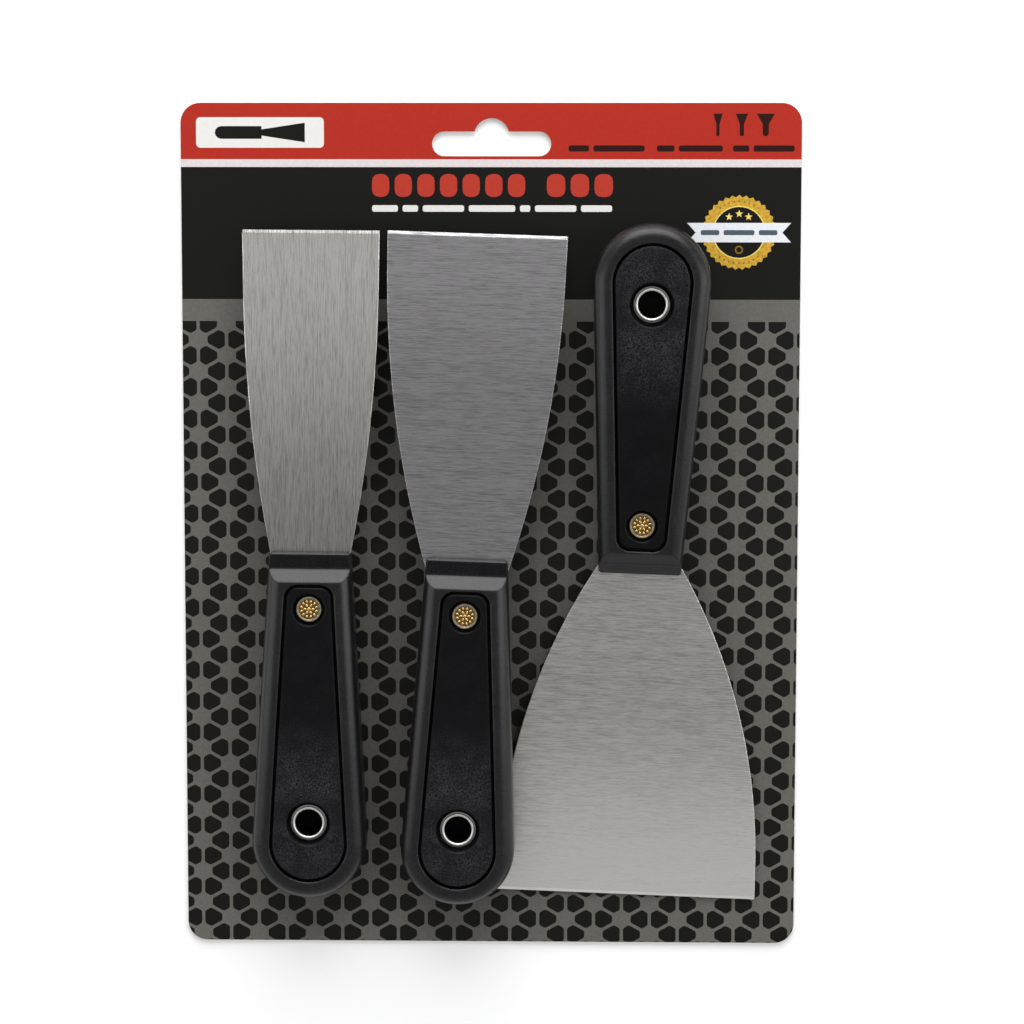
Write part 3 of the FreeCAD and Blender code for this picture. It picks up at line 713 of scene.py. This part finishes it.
def tube_nickel(name, knife, colour):
    """Nickel plate, bright on the rolled rim; deep in the tube its colour is darkened nearly to
    black, a painted shade for the bore.
    """
    material, tree = new_material(name)
    # Painted shade: darker below the rim, down the bore.
    bore_shade = ramp(tree, knife.measures(tree)["Z"], 4.2, 4.9, 0.04, 1.0)
    wear = noise(tree, sized(tree, (0.5, 0.5, 0.5)), 3.0)
    close_material(tree, Base_Color=shaded(tree, colour, bore_shade), Metallic=1.0,
                   Roughness=ramp(tree, wear, 0.3, 0.7, 0.34, 0.44))
    return material


def disc(mesh, axes, centre, radius, low, high, around=40):
    """A closed flat disc from low to high along the third axis."""
    rows = []
    for z in (low, high):
        rows.append([mesh.verts.new(centre + axes @ Vector((
            radius * math.cos(2 * math.pi * i / around),
            radius * math.sin(2 * math.pi * i / around), z))) for i in range(around)])
    for i in range(around):
        j = (i + 1) % around
        mesh.faces.new((rows[0][i], rows[0][j], rows[1][j], rows[1][i]))
    mesh.faces.new(rows[1])
    mesh.faces.new(list(reversed(rows[0])))


def dome(mesh, axes, centre, radius, rise, stretch=1.0, turn=0.0):
    """A closed low dome on a flat bottom, stretched along its own first axis."""
    rings = 5
    around = 16
    spin = Matrix.Rotation(turn, 3, "Z")
    rows = []
    for ring in range(rings):
        angle = math.pi / 2 * ring / rings
        row = []
        for step in range(around):
            a = 2 * math.pi * step / around
            flat = spin @ Vector((radius * stretch * math.cos(angle) * math.cos(a),
                                  radius * math.cos(angle) * math.sin(a), 0))
            point = flat + Vector((0, 0, rise * math.sin(angle)))
            row.append(mesh.verts.new(centre + axes @ point))
        rows.append(row)
    peak = mesh.verts.new(centre + axes @ Vector((0, 0, rise)))
    for below, above in zip(rows, rows[1:]):
        for i in range(around):
            j = (i + 1) % around
            mesh.faces.new((below[i], below[j], above[j], above[i])).smooth = True
    for i in range(around):
        mesh.faces.new((rows[-1][i], rows[-1][(i + 1) % around], peak)).smooth = True
    mesh.faces.new(list(reversed(rows[0])))


class KNIVES_OT_rivets(bpy.types.Operator):
    """Finishes the rivets and adds a raised rosette to each head"""
    bl_idname = "knives.rivets"
    bl_label = "Rivets"

    def execute(self, context):
        settings = context.scene.knives_tools
        rim = plated("brass_plate", linear("d9cfb4"), 0.3, 0.5, 0.4, 0.6)
        brass = plated("polished_brass", settings.brass, 0.22, 0.4, 0.3)
        patina = plated("brass_patina", settings.patina, 0.45, 0.3, 1.0, 0.25)
        for size in SIZES:
            knife = Knife(size)
            for name in ("rivet_cap", "rivet_post"):
                set_material(knife.node(name), rim)
            head = self.dish_centre(knife)
            mesh = bmesh.new()
            radius, low, high = 2.8 * MM, -0.03 * MM, 0.02 * MM
            disc(mesh, knife.axes, head, radius, low, high)
            field = len(mesh.faces)
            self.add_ornament(mesh, knife.axes, head, settings.petals)
            bmesh.ops.recalc_face_normals(mesh, faces=mesh.faces)
            for i, face in enumerate(mesh.faces):
                face.material_index = int(i >= field)
            data = bpy.data.meshes.new(f"rivet_rosette_{size}")
            mesh.to_mesh(data)
            mesh.free()
            data.materials.append(patina)
            data.materials.append(brass)
            piece = bpy.data.objects.new(f"rivet_rosette_{size}", data)
            context.scene.collection.objects.link(piece)
            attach(piece, f"knife_{size}")
        return {"FINISHED"}

    @staticmethod
    def dish_centre(knife):
        """Middle of the dish in the front head."""
        cap = knife.node("rivet_cap")
        local = [knife.local(v.co) for v in cap.data.vertices]
        x = (min(p.x for p in local) + max(p.x for p in local)) / 2
        y = (min(p.y for p in local) + max(p.y for p in local)) / 2
        dish = 0.25 * MM
        z = max(p.z for p in local) - dish
        return knife.eyelet + knife.axes @ Vector((x, y, z))

    @staticmethod
    def add_ornament(mesh, axes, head, petals):
        """A boss with two rings of leaves, all lower than the rim."""
        rise = 0.23 * MM
        dome(mesh, axes, head, 0.5 * MM, rise)
        for ring, (distance, radius, stretch) in enumerate(
                ((1.12 * MM, 0.34 * MM, 1.5), (2.15 * MM, 0.33 * MM, 1.3))):
            count = petals * (ring + 1)
            for i in range(count):
                a = 2 * math.pi * (i + 0.5 * ring) / count
                spot = head + axes @ Vector((math.cos(a), math.sin(a), 0)) * distance
                dome(mesh, axes, spot, radius, rise, stretch, a)


class KNIVES_OT_eyelets(bpy.types.Operator):
    """Finishes the hanging eyelets and their washers"""
    bl_idname = "knives.eyelets"
    bl_label = "Eyelets"

    def execute(self, context):
        settings = context.scene.knives_tools
        washer = plated("bright_nickel_plate", settings.nickel, 0.2, 1.2, 0.15)
        for size in SIZES:
            knife = Knife(size)
            set_material(knife.node("eyelet"),
                         tube_nickel(f"rolled_nickel_{size}", knife, settings.nickel))
            set_material(knife.node("eyelet_washer"), washer)
        return {"FINISHED"}


# ------------------------------------------------------------------ stage

def soft_box(name, place, target, width, height, watts):
    """A rectangular soft light that faces its target."""
    light = bpy.data.lights.new(name, "AREA")
    light.shape = "RECTANGLE"
    light.size, light.size_y = width, height
    light.energy = watts
    lamp = bpy.data.objects.new(name, light)
    lamp.location = place
    lamp.rotation_mode = "QUATERNION"
    lamp.rotation_quaternion = (Vector(target) - Vector(place)).to_track_quat("-Z", "Y")
    bpy.context.scene.collection.objects.link(lamp)


class KNIVES_OT_stage(bpy.types.Operator):
    """Makes the pale floor, the soft light and the camera"""
    bl_idname = "knives.stage"
    bl_label = "Stage"

    def execute(self, context):
        settings = context.scene.knives_stage
        self.make_floor(context)
        self.make_light(context)
        self.make_camera(context, settings)
        context.scene.view_settings.view_transform = "Standard"
        return {"FINISHED"}

    def make_floor(self, context):
        data = bpy.data.meshes.new("studio_floor")
        half, drop = 3.0, -0.0005
        data.from_pydata([(-half, -half, drop), (half, -half, drop),
                          (half, half, drop), (-half, half, drop)], [], [(0, 1, 2, 3)])
        floor = bpy.data.objects.new("studio_floor", data)
        context.scene.collection.objects.link(floor)
        material, tree = new_material("white_paper_sweep")
        # Seamless background paper: matt, with a barely visible tooth.
        tooth = noise(tree, sized(tree, (1.5, 1.5, 1.5)), 2.0)
        close_material(tree, Base_Color=(0.98, 0.98, 0.98, 1), Roughness=0.95,
                       Specular_IOR_Level=0.1, Normal=relief(tree, tooth, 0.03, 0.1))
        set_material(floor, material)

    def make_light(self, context):
        world = bpy.data.worlds.new("studio_tent")
        context.scene.world = world
        world.use_nodes = True
        tree = world.node_tree
        tree.nodes.clear()
        way = add(tree, "ShaderNodeTexCoord")
        parts = add(tree, "ShaderNodeSeparateXYZ", {0: way.outputs["Generated"]})
        horizon, zenith = 0.75, 0.3
        glow = add(tree, "ShaderNodeBackground",
                   {"Color": (1, 1, 1, 1),
                    "Strength": ramp(tree, parts.outputs["Z"], 0.0, 1.0, horizon, zenith)})
        add(tree, "ShaderNodeOutputWorld", {"Surface": glow.outputs[0]})
        soft_box("key_box", (0.05, 1.25, 0.95), (0, 0, 0), 1.6, 1.0, 21.0)
        soft_box("low_box", (0.0, 1.5, 0.42), (0, 0, 0), 1.4, 0.5, 7.0)
        soft_box("left_strip", (-0.95, 0.0, 0.75), (0, 0, 0), 0.45, 1.1, 2.4)
        soft_box("right_strip", (0.95, 0.05, 0.75), (0, 0, 0), 0.45, 1.1, 3.6)

    def make_camera(self, context, settings):
        data = bpy.data.cameras.new("view_from_above")
        data.lens = settings.lens
        data.sensor_width = 36.0
        data.clip_start, data.clip_end = 0.01, 10.0
        camera = bpy.data.objects.new("view_from_above", data)
        pitch, yaw, roll = settings.pitch, settings.yaw, settings.roll
        back = Vector((math.sin(yaw) * math.cos(pitch), math.sin(pitch),
                       math.cos(yaw) * math.cos(pitch)))
        right = Vector((0, 1, 0)).cross(back).normalized()
        up = back.cross(right)
        turned_right = right * math.cos(roll) + up * math.sin(roll)
        turned_up = up * math.cos(roll) - right * math.sin(roll)
        axes = Matrix((turned_right, turned_up, back)).transposed()
        camera.matrix_world = (Matrix.Translation(Vector(settings.target)
                                                  + back * settings.distance) @ axes.to_4x4())
        context.scene.collection.objects.link(camera)
        context.scene.camera = camera


# ------------------------------------------------------------------ sidebar and registration

class KNIVES_PT_sidebar(bpy.types.Panel):
    bl_idname = "KNIVES_PT_sidebar"
    bl_label = "Filling Knives"
    bl_space_type = "VIEW_3D"
    bl_region_type = "UI"
    bl_category = "Knives"

    def draw(self, context):
        column = self.layout.column()
        for operator in OPERATORS:
            column.operator(operator.bl_idname)
        for group in (context.scene.knives_card, context.scene.knives_tools,
                      context.scene.knives_stage):
            box = self.layout.box()
            for name in group.__annotations__:
                box.prop(group, name)


OPERATORS = (KNIVES_OT_card, KNIVES_OT_pads, KNIVES_OT_blades, KNIVES_OT_handles,
             KNIVES_OT_rivets, KNIVES_OT_eyelets, KNIVES_OT_stage)
GROUPS = {"knives_card": CardSettings, "knives_tools": KnifeSettings,
          "knives_stage": StageSettings}
CLASSES = (*GROUPS.values(), *OPERATORS, KNIVES_PT_sidebar)


def register():
    for cls in CLASSES:
        bpy.utils.register_class(cls)
    for name, group in GROUPS.items():
        setattr(bpy.types.Scene, name, PointerProperty(type=group))


def unregister():
    for name in GROUPS:
        delattr(bpy.types.Scene, name)
    for cls in reversed(CLASSES):
        bpy.utils.unregister_class(cls)


def main():
    register()
    bpy.ops.knives.card()
    bpy.ops.knives.pads()
    bpy.ops.knives.blades()
    bpy.ops.knives.handles()
    bpy.ops.knives.rivets()
    bpy.ops.knives.eyelets()
    bpy.ops.knives.stage()


if __name__ == "__main__":
    main()
